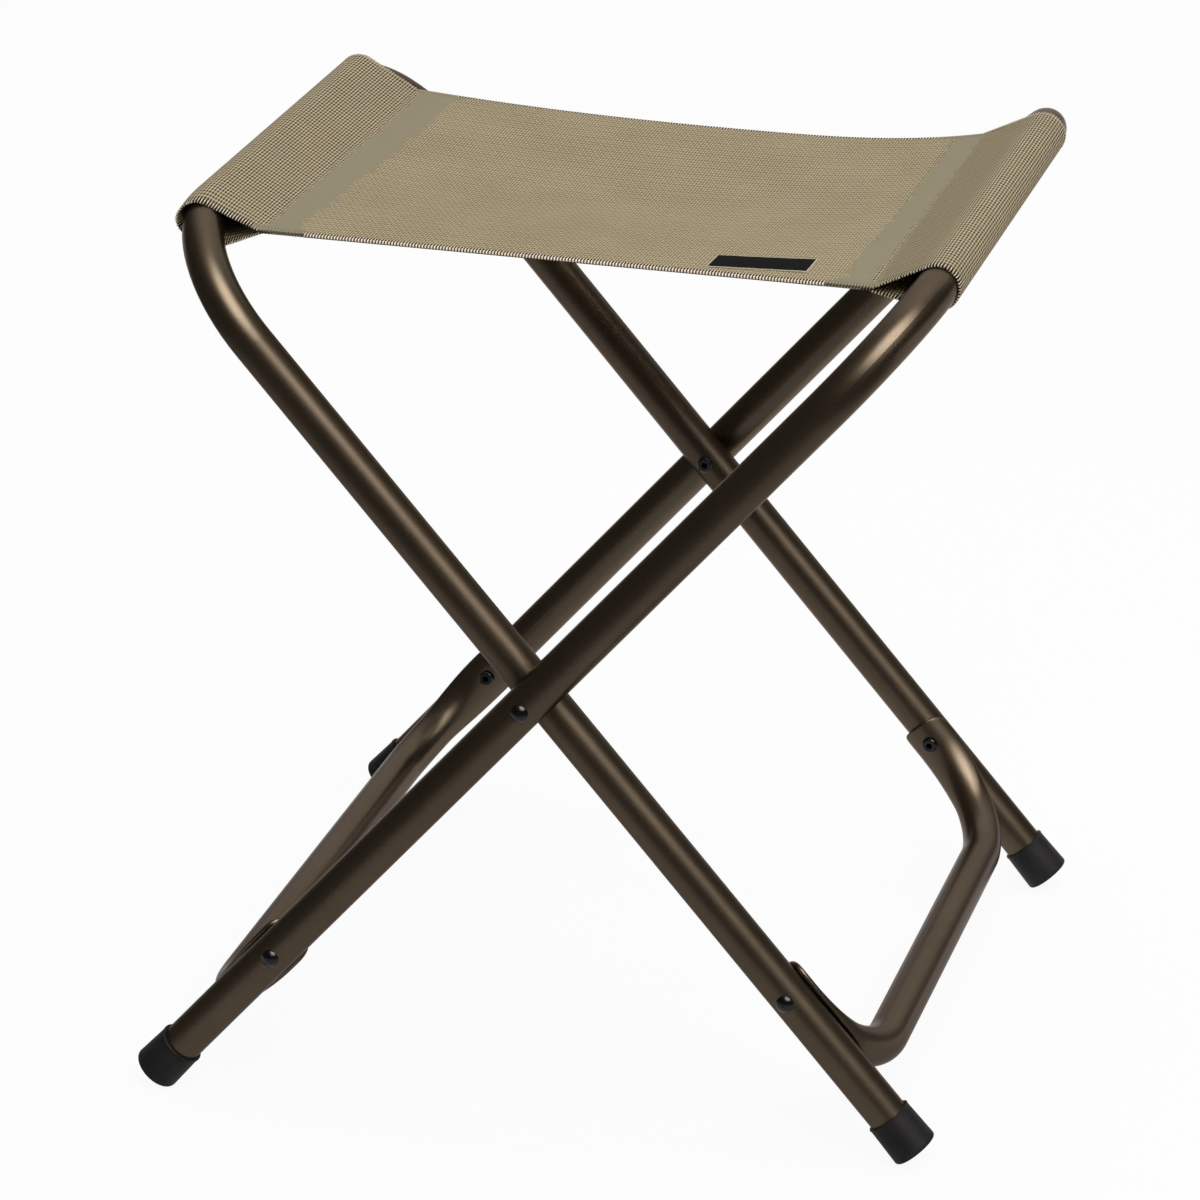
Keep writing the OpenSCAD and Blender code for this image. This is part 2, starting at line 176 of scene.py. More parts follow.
def seen_or_reflected(graph):
    """1 where the camera sees something straight, mirrored or through glass."""
    path = graph.add("LightPath")
    factor = graph.math("MAXIMUM", path.outputs["Is Camera Ray"], path.outputs["Is Glossy Ray"])
    return graph.math("MAXIMUM", factor, path.outputs["Is Transmission Ray"])


world = bpy.data.worlds.new("studio")
scene.world = world
studio = Graph(world)
studio.tree.nodes.clear()
around = studio.add("Background", (1, 1, 1, 1), 0.45)
# Polished things see a dim room. In it are a pale backdrop behind the stool, a faint
# ceiling and a wide soft lamp high at the front right: for each its heading and height,
# where its whole part and its fading end, in degrees, and its brightness
ROOM_DIM = 0.09
ROOM_GLOWS = ((-5, 38, 26, 48, 1.0),
              (0, 90, 10, 50, 0.35),
              (140, 56, 8, 32, 10.5))
toward = studio.add("TexCoord").outputs["Generated"]
mirrored = studio.add("LightPath").outputs["Is Glossy Ray"]


def glow_at(heading, height, core, edge):
    """1 within core degrees of a direction and 0 past edge degrees from it."""
    a, b = math.radians(heading), math.radians(height)
    aim = (math.sin(a) * math.cos(b), math.cos(a) * math.cos(b), math.sin(b))
    near = studio.add("VectorMath", toward, aim, operation="DOT_PRODUCT").outputs["Value"]
    return studio.step(near, math.cos(math.radians(edge)), math.cos(math.radians(core)))


room = ROOM_DIM
for *place, brightness in ROOM_GLOWS:
    room = studio.scale(glow_at(*place), brightness, room)
strength = studio.scale(room, mirrored, studio.math("SUBTRACT", 1.0, mirrored))
behind = studio.add("Background", (1, 1, 1, 1), strength)
studio.add("OutputWorld", studio.add("MixShader", seen_or_reflected(studio), around, behind))

# The share of the floor's look that is plain white; the rest holds the stool's shadow
FLOOR_GLOW = 0.93
bm = bmesh.new()
bmesh.ops.create_grid(bm, x_segments=1, y_segments=1, size=6)
floor_mesh = bpy.data.meshes.new("floor")
bm.to_mesh(floor_mesh)
bm.free()
floor = bpy.data.objects.new("floor", floor_mesh)
scene.collection.objects.link(floor)
floor_material, ground, floor_shader, floor_place = finish_on("pale_floor")
floor_shader.inputs["Base Color"].default_value = (0.93, 0.93, 0.93, 1)
floor_shader.inputs["Roughness"].default_value = 0.9
spot = ground.add("SeparateXYZ", floor_place)
away = ground.add("VectorMath", floor_place, operation="LENGTH").outputs["Value"]
mirrored = ground.add("LightPath").outputs["Is Glossy Ray"]
# Polished things see the floor bright near the stool, brightest behind it
seen = ground.scale(ground.step(away, 0.9, 0.3), 0.62, 0.10)
rearward = ground.scale(spot.outputs[0], 0.3, spot.outputs[1])
seen = ground.math("ADD", ground.step(rearward, 0.0, 0.45), seen)
seen = ground.scale(seen, mirrored, ground.math("SUBTRACT", 1.0, mirrored))
glow = ground.add("Emission", (1, 1, 1, 1), seen)
lit = ground.add("MixShader", ground.scale(seen_or_reflected(ground), FLOOR_GLOW),
                 floor_shader, glow)
ground.tree.links.new(lit.outputs[0], ground.tree.nodes["Material Output"].inputs[0])
floor_mesh.materials.append(floor_material)


def lamp(name, place, aim, size, power):
    """Soft lamp that lights the stool but isn't mirrored in it."""
    data = bpy.data.lights.new(name, "AREA")
    data.shape = "RECTANGLE"
    data.size, data.size_y = size
    data.energy = power
    light = bpy.data.objects.new(name, data)
    light.location = place
    light.rotation_euler = (Vector(aim) - Vector(place)).to_track_quat("-Z", "Y").to_euler()
    light.visible_glossy = False
    scene.collection.objects.link(light)


lamp("key_lamp", (1.0, -1.3, 2.2), (0, 0, 0.25), (1.4, 1.0), 22)
lamp("top_lamp", (0.1, 0.6, 2.6), (0, 0, 0.2), (1.8, 1.4), 18)

# ---- materials of the frame ----


def bronze_finish():
    """Satin metallic paint on tube: fine flakes, soft mottling and faint scuffs."""
    material, g, shader, where = finish_on("satin_bronze")
    flakes = g.add("TexVoronoi", feature="F1")
    g.feed(flakes, "Vector", where)
    g.feed(flakes, "Scale", 4200.0)
    spark = g.step(g.add("SeparateColor", flakes.outputs["Color"]).outputs[0], 0.6, 1.0)
    cloud = g.noise(where, 16.0, 4.0, 0.6)
    fine = g.noise(where, 700.0, 2.0, 0.6)
    scuff = g.step(g.noise(where, 120.0, 6.0, 0.7), 0.66, 0.78)
    base = g.blend(g.step(cloud, 0.3, 0.7), rgb(73, 61, 47), rgb(80, 68, 53))
    base = g.blend(g.math("MULTIPLY", spark, 0.16), base, rgb(128, 112, 92))
    g.feed(shader, "Base Color", base)
    rough = g.scale(cloud, 0.06, 0.30)
    rough = g.scale(scuff, 0.10, rough)
    g.feed(shader, "Roughness", g.scale(fine, 0.05, rough))
    shader.inputs["Metallic"].default_value = 0.9
    shader.inputs["Specular Tint"].default_value = (0.38, 0.32, 0.25, 1)
    shader.inputs["Coat Weight"].default_value = 0.30
    shader.inputs["Coat Roughness"].default_value = 0.3
    g.feed(shader, "Normal", g.bump(fine, 0.05, 0.0001))
    return material


def rubber_finish():
    """Moulded black rubber: matt grain and a little dust in the pores."""
    material, g, shader, where = finish_on("black_rubber_mould")
    grain = g.noise(where, 1400.0, 3.0, 0.6)
    cloud = g.noise(where, 90.0, 3.0, 0.5)
    g.feed(shader, "Base Color", g.blend(g.step(cloud, 0.35, 0.7), rgb(15, 14, 13), rgb(26, 24, 23)))
    g.feed(shader, "Roughness", g.scale(grain, 0.2, 0.50))
    shader.inputs["Specular IOR Level"].default_value = 0.2
    g.feed(shader, "Normal", g.bump(grain, 0.25, 0.00015))
    return material


def rivet_finish():
    """Black enamelled steel with dull spots."""
    material, g, shader, where = finish_on("black_enamel")
    spots = g.noise(where, 700.0, 3.0, 0.7)
    g.feed(shader, "Base Color", g.blend(g.step(spots, 0.55, 0.75), rgb(6, 6, 6), rgb(15, 14, 13)))
    g.feed(shader, "Roughness", g.scale(spots, 0.16, 0.14))
    shader.inputs["Specular IOR Level"].default_value = 0.35
    g.feed(shader, "Normal", g.bump(spots, 0.1, 0.0001))
    return material


def washer_finish():
    """Black nylon, slightly waxy."""
    material, g, shader, where = finish_on("black_nylon")
    wax = g.noise(where, 500.0, 2.0, 0.5)
    g.feed(shader, "Base Color", g.blend(wax, rgb(14, 14, 14), rgb(24, 23, 23)))
    g.feed(shader, "Roughness", g.scale(wax, 0.15, 0.40))
    shader.inputs["Specular IOR Level"].default_value = 0.25
    g.feed(shader, "Normal", g.bump(wax, 0.1, 0.0001))
    return material


bronze = bronze_finish()
rubber = rubber_finish()
enamel = rivet_finish()
nylon = washer_finish()


def dress(name, material):
    """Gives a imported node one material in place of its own."""
    mesh = cad[name].data
    mesh.materials.clear()
    mesh.materials.append(material)


for name in cad:
    if name.endswith("_tube"):
        dress(name, bronze)
    elif "cap" in name:
        dress(name, rubber)
    elif "rivet" in name:
        dress(name, enamel)
    elif "washer" in name:
        dress(name, nylon)

# ---- piece helpers ----


def piece(name, bm, material):
    """Makes a finished object from a bmesh whose place is in its vertices."""
    mesh = bpy.data.meshes.new(name)
    bm.to_mesh(mesh)
    bm.free()
    mesh.materials.append(material)
    for polygon in mesh.polygons:
        polygon.use_smooth = True
    made = bpy.data.objects.new(name, mesh)
    scene.collection.objects.link(made)
    return made


# ---- stretchers: a bent tube whose ends are pressed into saddles ----

SLIT_T, SLIT_DEPTH = 0.0006, 0.004
SADDLE_T = 2 * WALL + SLIT_T
SADDLE_GAP = 0.0003
SADDLE_R = TUBE_R + SADDLE_GAP + SADDLE_T / 2
SADDLE_TURN = math.radians(66)
SADDLE_HALF = SADDLE_R * SADDLE_TURN + SADDLE_T / 2
CROSSBAR_REACH = 0.247
BEND_R = 0.053
BEND_A = CROSSBAR_REACH - BEND_R
BEND_W = BEND_R - TUBE_R + SADDLE_R + SADDLE_T / 2
NEAR_SIDE = BEND_R - TUBE_R
PRESS_SOFT = 0.0015
SADDLE_TIP = 0.011
SADDLE_END_A = RIVET_REACH - SADDLE_TIP
TIP_ROUND = 0.009
RIM = 48
STEPS = 36
HOLE_R = 0.00265
# How far the sections of the flat end lie from its tip; one is at the rivet
FLAT_PLACES = (0.0135, SADDLE_TIP, 0.0085, 0.0068, 0.0052, 0.0038, 0.0027, 0.0018,
               0.0011, 0.0005, 0.0001, 0)


def flat_outline(i):
    """Point i of a pressed tube's outline, as shares of its half-breadth and thickness."""
    quarter = RIM // 4
    j, side = i % (2 * quarter), 1 if i < 2 * quarter else -1
    if j <= quarter:
        a = math.pi * (j / quarter - 0.5)
        return side, side * math.cos(a), side * 0.5 * math.sin(a)
    return side * mix((j - quarter) / quarter, 1, -1), 0, side * 0.5


def curled(u, v):
    """A point of a flat section curled round the leg, (inwards, across)."""
    a = u / SADDLE_R
    return (SADDLE_R + v) * math.cos(a) - SADDLE_R, (SADDLE_R + v) * math.sin(a)


def in_frame(leg_y, a, w, d, out, across):
    """A section's point in the frame's plane, the section being turned by d."""
    return Vector((out * math.sin(d) - a, leg_y - w - out * math.cos(d), across))


def section(leg_y, a, w, d=0.0, k=1.0, half=SADDLE_HALF):
    """Ring of a stretcher at a down the leg and w in from it, pressed flat by k."""
    ring = []
    for i in range(RIM):
        t = 2 * math.pi * i / RIM - math.pi / 4
        reach, round_u, v = flat_outline(i)
        u = reach * (half - SADDLE_T / 2) + round_u * SADDLE_T / 2
        flat = curled(u, v * SADDLE_T)
        bent = (TUBE_R * math.sin(t), TUBE_R * math.cos(t))
        ring.append(in_frame(leg_y, a, w, d, *(mix(k, p, q) for p, q in zip(bent, flat))))
    return ring


def tip_half(from_tip):
    """Half-breadth of the flat end, which is rounded toward its tip."""
    k = min(from_tip / TIP_ROUND, 1)
    return SADDLE_HALF * (0.4 + 0.6 * math.sqrt(1 - (1 - k) ** 2))


def far_side(d):
    """Distance from the bend's middle to the tube's side that the leg presses in."""
    p, q = BEND_R + TUBE_R, (BEND_W - TUBE_R - SADDLE_GAP) / max(math.cos(d), 0.05)
    return min(p, q) - PRESS_SOFT * math.log(1 + math.exp(-abs(p - q) / PRESS_SOFT))


def half_rings(leg_y):
    """Rings from the crossbar's end round the bend, where the tube goes flat, to a tip."""
    rings = []
    for i in range(STEPS + 1):
        d = math.pi / 2 * (1 - i / STEPS)
        far = far_side(d)
        k = min(1, (2 * TUBE_R - far + NEAR_SIDE) / (2 * TUBE_R - SADDLE_T))
        m = (NEAR_SIDE + far) / 2
        rings.append(section(leg_y, BEND_A + m * math.sin(d), BEND_W - m * math.cos(d), d, k))
    for from_tip in FLAT_PLACES:
        rings.append(section(leg_y, SADDLE_END_A + from_tip, SADDLE_R,
                             half=tip_half(from_tip)))
    return rings


def sweep(bm, rings):
    """Extrudes a circle through rings of places; returns its loops of vertices."""
    loop = bmesh.ops.create_circle(bm, segments=len(rings[0]), radius=TUBE_R)["verts"]
    edges = list(bm.edges)
    loops = [loop]
    for ring in rings[1:]:
        made = bmesh.ops.extrude_edge_only(bm, edges=edges)["geom"]
        fresh = {g for g in made if isinstance(g, bmesh.types.BMVert)}
        edges = [g for g in made
                 if isinstance(g, bmesh.types.BMEdge) and fresh.issuperset(g.verts)]
        loop = [next(e.other_vert(v) for e in v.link_edges if e.other_vert(v) in fresh)
                for v in loop]
        loops.append(loop)
    for loop, ring in zip(loops, rings):
        for vert, place in zip(loop, ring):
            vert.co = place
    return loops


def loop_edges(loop):
    """Edges of a closed loop of vertices, in order."""
    return [next(e for e in v.link_edges if e.other_vert(v) is w)
            for v, w in zip(loop, loop[1:] + loop[:1])]


def pierce(bm, loops, at, leg_y, side):
    """Opens the rivet's hole through both walls of a flat end."""
    rims = []
    for middle, v in ((RIM * 3 // 8, SADDLE_T / 2), (RIM * 7 // 8, -SADDLE_T / 2)):
        around = [(at - 1, 0), (at - 1, 1), (at, 1), (at + 1, 1),
                  (at + 1, 0), (at + 1, -1), (at, -1), (at - 1, -1)]
        rim = [loops[j][(middle + i) % RIM] for j, i in around]
        centre = loops[at][middle]
        place = centre.co.copy()
        sign = 1 if (loops[at][middle + 1].co.z - place.z) > 0 else -1
        forward = 1 if loops[at + 1][middle].co.x > place.x else -1
        for vert, (j, i) in zip(rim, around):
            turn = math.atan2(i * sign, (j - at) * forward)
            a = RIVET_REACH - HOLE_R * math.cos(turn)
            u = HOLE_R * math.sin(turn) * SADDLE_R / (SADDLE_R + v)
            new = in_frame(leg_y, a, SADDLE_R, 0.0, *curled(u, v))
            vert.co = (new.x, side * new.y, new.z)
        bmesh.ops.delete(bm, geom=[centre], context="VERTS")
        rims.append(rim)
    bmesh.ops.bridge_loops(bm, edges=loop_edges(rims[0]) + loop_edges(rims[1]))


def stretcher(name, leg_y, half_turns):
    """Sweeps one stretcher, pierces it, opens its end slits and turns it into place."""
    half = half_rings(leg_y)
    rings = half[::-1] + [[Vector((p.x, -p.y, p.z)) for p in ring] for ring in half]
    bm = bmesh.new()
    loops = sweep(bm, rings)
    far = len(half) - 1 - (STEPS + 1 + FLAT_PLACES.index(SADDLE_TIP))
    ends = [loop_edges(loops[0]), loop_edges(loops[-1])]
    pierce(bm, loops, far, leg_y, 1)
    pierce(bm, loops, len(rings) - 1 - far, leg_y, -1)
    for edges in ends:
        cap = bmesh.ops.contextual_create(bm, geom=edges)["faces"]
        bmesh.ops.inset_region(bm, faces=cap, thickness=WALL)
        slit = bmesh.ops.extrude_discrete_faces(bm, faces=cap)["faces"]
        bmesh.ops.translate(bm, verts=list({v for f in slit for v in f.verts}),
                            vec=(-SLIT_DEPTH, 0, 0))
    bmesh.ops.recalc_face_normals(bm, faces=bm.faces)
    bmesh.ops.rotate(bm, verts=bm.verts, matrix=Euler((0, -LEAN, 0)).to_matrix())
    bmesh.ops.translate(bm, verts=bm.verts, vec=(0, 0, PIVOT_H))
    bmesh.ops.rotate(bm, verts=bm.verts, matrix=Euler((0, 0, half_turns * math.pi)).to_matrix())
    return piece(name, bm, bronze)


for body, node, leg_y, half_turns in (("outer_frame", "outer_stretcher", OUTER_Y, 0),
                                      ("inner_frame", "inner_stretcher", INNER_Y, 1)):
    bent = stretcher("pressed_" + node, leg_y, half_turns)
    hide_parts(node)
    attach(bent, body)

# ---- seat cloth ----

CLOTH_T = 0.0008
WRAP_R = 0.0108
HALF_W = 0.125
SEAM_IN, SEAM_DROP = 0.0306, 0.0046
SEAM_X = RAIL_X - SEAM_IN
SEAM_Z = RAIL_Z - SEAM_DROP
SEAM_W = 0.024
LAYER = 0.00105
UNDER_SEAM = 1.5 * LAYER
HEM_W = 0.018
HEM_UNDER_WELD = 0.0005
SEAM_LEAN = math.asin(WRAP_R / math.hypot(SEAM_IN, SEAM_DROP))
SEAM_FALL = math.atan2(SEAM_DROP, SEAM_IN)
LEAVE_TOP = math.pi / 2 - SEAM_LEAN - SEAM_FALL
LEAVE_LOW = 1.5 * math.pi + SEAM_LEAN - SEAM_FALL
# Pitches of the weave: its cords, the threads across them, and the rows of open holes
THREAD = 0.0015
TIE = 0.0027
RUNG = 0.0034
# The seams lie higher or lower than SEAM_Z at the front and at the rear, -1 left and 1
# right, and the rear edge hangs down to its lowest place in a curve of these powers
FRONT_RISE = 0.0017
REAR_RISE = {-1: -0.0005, 1: 0.0018}
REAR_LOW = -0.0069
LOWEST_X = 0.030
REAR_CURVE = {-1: 2.3, 1: 2.8}
BELLY = 0.0065
# Where a rail bends down, the cloth under it hangs free by a share of the bend, which
# grows from an angle round the rail on, and over it, at the front, the cloth droops by
# another share, which fades in the same way
SLACK, SLACK_FROM, SLACK_OVER = 1.2, 205, 30
DROOP, DROOP_FROM, DROOP_OVER = 0.7, 150, 60
# Steps of the mesh over each stretch of the cloth, between its edges and in its hems
PANEL_STEPS, SLOPE_STEPS, WRAP_STEPS, UNDER_STEPS, LAP_STEPS = 40, 8, 40, 7, 10
CLOTH_ROWS = 40
FOLD_STEPS, HEM_STEPS = 6, 4
# How far the smooth weld stays short of its lap, at the panel's side and the sleeve's
WELD_INNER_SIDE = ((0.0060, -0.0012), (0.0058, 0.0095))
WELD_OUTER_SIDE = ((-0.0014, -0.0044), (-0.0018, 0.0012))


def bend_cos(y, bend_y):
    """Cosine of the rail's turn at y, 1 on its straight part."""
    return math.sqrt(1 - (max(0, abs(y) - bend_y) / CORNER_R) ** 2)


def on_wrap(a, y, bend_y):
    """Point of the cloth at an angle round the left rail, (x, z)."""
    c = bend_cos(y, bend_y)
    turn = math.degrees(a)
    room = SLACK * CORNER_R * (1 - c) + TUBE_R * (1 / c - 1)
    down = ease((turn - SLACK_FROM) / SLACK_OVER) * room
    droop = 0
    if y <= 0:
        fall = DROOP * CORNER_R * (1 - c) * math.sin(LEAN)
        droop = fall * (1 - ease((turn - DROOP_FROM) / DROOP_OVER))
    return (-RAIL_X + WRAP_R * math.cos(a) + down * math.cos(LEAN),
            RAIL_Z + WRAP_R * math.sin(a) - down * math.sin(LEAN) - droop)


def seam_z(side, y):
    """Height of the seam at the left (side -1) or the right (1)."""
    return SEAM_Z + mix(along_rail(y), FRONT_RISE, REAR_RISE[side])


def along_rail(y):
    """0 at the cloth's front edge and 1 at its rear one."""
    return (y + HALF_W) / (2 * HALF_W)


def panel_z(x, y):
    """The front edge is taut, the rear one hangs lowest right of the middle."""
    k = along_rail(y)
    side = 1 if x > LOWEST_X else -1
    out = abs(x - LOWEST_X) / (SEAM_X - side * LOWEST_X)
    rear = mix(out ** REAR_CURVE[side], REAR_LOW, REAR_RISE[side])
    belly = BELLY * math.sin(math.pi * k) ** 2 * (1 - (x / SEAM_X) ** 2)
    return SEAM_Z + mix(k, FRONT_RISE, rear) - belly


def half_strip(side, y, bend_y):
    """The cloth from the middle out, round a rail and back under the weld, as at the left."""
    points = [(-SEAM_X * i / PANEL_STEPS, panel_z(side * SEAM_X * i / PANEL_STEPS, y))
              for i in range(PANEL_STEPS + 1)]
    top = on_wrap(LEAVE_TOP, y, bend_y)
    seam = (-SEAM_X, seam_z(side, y))
    for i in range(1, SLOPE_STEPS):
        points.append(tuple(mix(i / SLOPE_STEPS, p, q) for p, q in zip(seam, top)))
    for i in range(WRAP_STEPS + 1):
        points.append(on_wrap(mix(i / WRAP_STEPS, LEAVE_TOP, LEAVE_LOW), y, bend_y))
    low = points[-1]
    under = (-SEAM_X, seam_z(side, y) - UNDER_SEAM)
    for i in range(1, UNDER_STEPS):
        points.append(tuple(mix(i / UNDER_STEPS, p, q) for p, q in zip(low, under)))
    for i in range(LAP_STEPS + 1):
        x = SEAM_X - mix(i / LAP_STEPS, UNDER_SEAM, SEAM_W)
        points.append((-x, panel_z(side * x, y) - LAYER))
    return points


def strip(y):
    """One row of the cloth's points, (x, z), from lap to lap."""
    left = half_strip(-1, y, INNER_Y - CORNER_R)
    right = [(-x, z) for x, z in half_strip(1, y, OUTER_Y - CORNER_R)]
    return left[:0:-1] + right


def lengths(points):
    """Distance along a row of points, 0 at its middle point."""
    run = [0.0]
    for p, q in zip(points, points[1:]):
        run.append(run[-1] + math.dist(p, q))
    middle = run[len(points) // 2]
    return [r - middle for r in run]


MIDDLE_ROW = strip(0.0)
ALONG = lengths(MIDDLE_ROW)
MIDDLE = len(ALONG) // 2
WELD_IN = ALONG[MIDDLE + round(PANEL_STEPS * (SEAM_X - SEAM_W) / SEAM_X)]
WELD_OUT = ALONG[MIDDLE + PANEL_STEPS]
LAP_FROM = ALONG[-1 - LAP_STEPS]
# Where marks along the cloth's edges start, are whole, fade and end, as distances out
# from the fold line; a mark with only two goes on past the edge
FOLD_DASHES = (-0.0030, -0.0024, 0.0030, 0.0034)
FOLD_SHADOW_LINE = (0.0009, 0.0011, 0.0026, 0.0028)
STITCHES = (-0.0044, -0.0038, -0.0021, -0.0016)
SELVAGE = (-0.0020, -0.0016)
MOUTH_RIM_SHADE = (-0.0003, -0.0001)
WELD_SPREAD = (-0.011, -0.001)
WELD_ROWS = (-0.008, -0.006)
WELD_ROW_PITCH = 0.0013
# Along the sheet: the painted shade on the right slope, out from the weld, where the lap's
# pressed stretch starts, where the panel's finer look ends, and how softly the welds
# and the seams end
RIGHT_SLOPE_SHADE = (0.0, 0.003, 0.022, 0.032)
LAP_SMOOTH = (LAP_FROM + 0.003, LAP_FROM + 0.005)
PANEL_END = (WELD_IN + 0.009, WELD_IN + 0.006)
WELD_BLUR = 0.0005
SEAM_BLUR = 0.0004


class ClothGraph(Graph):
    """The cloth's nodes, with where a point lies on the sheet and in its weave."""

    def __init__(self, owner):
        super().__init__(owner)
        self.uv = self.add("UVMap", uv_map="cloth")
        split = self.add("SeparateXYZ", self.uv)
        self.along, self.across = split.outputs[0], split.outputs[1]
        self.out = self.math("ABSOLUTE", self.along)
        self.side = self.math("ABSOLUTE", self.across)
        self.edge = self.math("SUBTRACT", self.side, HALF_W)
        self.cords = self.rows(self.along, THREAD)
        self.ties = self.rows(self.across, TIE)
        self.uneven = self.noise(self.uv, 260.0, 3.0, 0.6)
        self.patches = self.noise(self.uv, 22.0, 3.0, 0.5)
        self.right = self.step(self.along, -0.01, 0.01)
        self.front = self.step(self.across, 0.001, -0.001)
        self.panel = self.step(self.out, *PANEL_END)
        self.hemmed = self.step(self.out, WELD_IN, WELD_IN - SEAM_BLUR)
        self.sleeve = self.step(self.out, WELD_IN, WELD_IN + SEAM_BLUR)
        self.welded = self.weld()
        self.open_mesh = self.scale(self.welded, -0.94, 1.0)

    def rows(self, place, pitch):
        """Wave with a crest at every pitch."""
        return self.wave(self.math("DIVIDE", place, pitch))

    def band(self, rise, whole, fade, end):
        """1 in a band along the cloth's edges, given by distances out from the fold line."""
        return self.times(self.step(self.edge, rise, whole), self.step(self.edge, end, fade))

    def weld_side(self, toward_rear, ends):
        """How far one side of a weld's smooth band lies out from the lap's own side."""
        (left_front, left_rear), (right_front, right_rear) = ends
        left_slope, right_slope = left_rear - left_front, right_rear - right_front
        slope = self.scale(self.right, right_slope - left_slope, left_slope)
        start = self.scale(self.right, right_front - left_front, left_front)
        return self.scale(toward_rear, slope, start)

    def weld(self):
        """1 where the weld has pressed the mesh smooth: narrower than the lap, with
        toothed sides, and spread at both ends to meet the hems."""
        spread = self.step(self.edge, *WELD_SPREAD)
        toward_rear = self.scale(self.across, 0.5 / HALF_W, 0.5, clamp=True)
        waver = self.math("SUBTRACT", self.noise(self.uv, 75.0, 2.0, 0.4), 0.5)
        rough = self.scale(self.math("SUBTRACT", self.uneven, 0.5), 0.006)
        run = self.math("ADD", self.out, self.scale(self.ties, 0.0006, rough))
        sides = []
        for ends, widening, sway in ((WELD_INNER_SIDE, -0.006, 0.009),
                                     (WELD_OUTER_SIDE, 0.005, -0.008)):
            side = self.scale(waver, sway, self.weld_side(toward_rear, ends))
            sides.append(self.math("SUBTRACT", run, self.scale(spread, widening, side)))
        inner, outer = sides
        smooth = self.times(self.step(inner, WELD_IN - WELD_BLUR, WELD_IN + WELD_BLUR),
                            self.step(outer, WELD_OUT + WELD_BLUR, WELD_OUT - WELD_BLUR))
        return self.math("MAXIMUM", smooth, self.step(self.out, *LAP_SMOOTH))


def mesh_colour(g, cord, gap, rungs):
    """Cream cords with rows of holes between them, finer and calmer on the panel; the holes are
    painted dark, a painted shade for what is seen through them, darkest on the sleeves.
    """
    patch = g.step(g.patches, 0.3, 0.7)
    base = g.blend(g.panel, g.blend(patch, rgb(147, 134, 107), rgb(155, 141, 113)),
                   g.blend(patch, rgb(151, 136, 106), rgb(160, 145, 114)))
    base = g.blend(g.welded, base, rgb(146, 138, 115))
    # Every other crossing stands a little proud, as in any plain weave, and on the panel is painted
    # lighter: a painted highlight on the proud crossings
    weave = g.times(g.rows(g.along, 2 * THREAD), g.rows(g.across, 2 * TIE))
    light = g.times(cord, g.scale(rungs, 0.40, 0.55), g.scale(g.panel, -0.30, 1.05))
    light = g.scale(g.times(weave, g.panel), 0.22, light, clamp=True)
    base = g.blend(g.times(light, g.open_mesh), base, rgb(212, 198, 168))
    # Painted shade: the holes are painted dark for the shade seen through them, darkest on the
    # sleeves, every other row a little darker, much lighter on the panel
    paired_hole_shade = g.scale(g.rows(g.across, 2 * TIE), 0.18, 0.96)
    dark = g.times(gap, g.scale(g.panel, -0.60, paired_hole_shade), g.open_mesh)
    return g.blend(dark, base, rgb(20, 15, 8))


def painted_slope_shade(g, base):
    """The slope inside the right rail gets a painted shade for how the light falls on it: one flat
    tone, with its rows across the cords painted darkest there.
    """
    rise, whole, fade, end = (WELD_OUT + d for d in RIGHT_SLOPE_SHADE)
    slope = g.times(g.right, g.step(g.out, rise, whole), g.step(g.out, end, fade))
    # Painted shade: the slope is evened to one tone and darkened in its rows across the cords, for
    # how the light falls on it
    slope_shade = g.times(slope, g.math("SUBTRACT", 0.65, g.welded, clamp=True))
    base = g.blend(slope_shade, base, rgb(153, 140, 113))
    crossing = g.step(g.rows(g.across, 2 * TIE), 0.0, 0.9)
    return g.blend(g.times(crossing, slope, g.open_mesh, 0.5), base, rgb(84, 72, 50))


def hem_colour(g, base):
    """The hems' folds: bold dashes over the edge with painted shade between them, and a painted
    shadow as a dark line under them.
    """
    turned = g.step(g.edge, -0.0004, 0.0)
    # Painted shade between the dashes: near black on the fold's top, brown on its turned side
    between = g.blend(turned, rgb(2, 2, 1), rgb(104, 82, 66))
    cream = g.step(g.scale(turned, 0.55, g.cords), 0.5, 0.8)
    dashes = g.blend(cream, between, rgb(255, 244, 220))
    base = g.blend(g.times(g.hemmed, g.band(*FOLD_DASHES)), base, dashes)
    # Painted shadow: the dark line under each fold
    return g.blend(g.times(g.hemmed, g.band(*FOLD_SHADOW_LINE), 0.95), base, rgb(14, 10, 7))


def mouth_colour(g, base):
    """The sleeves' mouths: cut cords at the front with painted shade between them, a plain selvage
    at the rear, and a painted shade along each mouth's rim.
    """
    selvage = g.times(g.sleeve, g.step(g.scale(g.front, 0.0006, g.edge), *SELVAGE))
    # Painted shade: near black between the cut cords' ends, looking into the mouth
    cut = g.blend(g.step(g.cords, 0.75, 0.4), rgb(255, 244, 220), rgb(4, 3, 2))
    ends = g.blend(g.front, rgb(172, 159, 131), cut)
    base = g.blend(g.times(selvage, g.scale(g.welded, -0.5, 0.9)), base, ends)
    # Painted shade: a dark rim along the sleeves' mouths, weaker in the welds
    mouth_rim_shade = g.times(g.sleeve, g.step(g.edge, *MOUTH_RIM_SHADE), g.scale(g.welded, -0.5, 0.85))
    return g.blend(mouth_rim_shade, base, rgb(14, 11, 7))


def stitch_holes(g):
    """Holes in a row behind the sleeves' cut edges, in patches at the rear, painted dark as the
    shade seen through them.
    """
    places = g.math("ADD", g.front, g.step(g.patches, 0.42, 0.5), clamp=True)
    return g.times(g.band(*STITCHES), g.sleeve, g.step(g.cords, 0.3, -0.3), places)


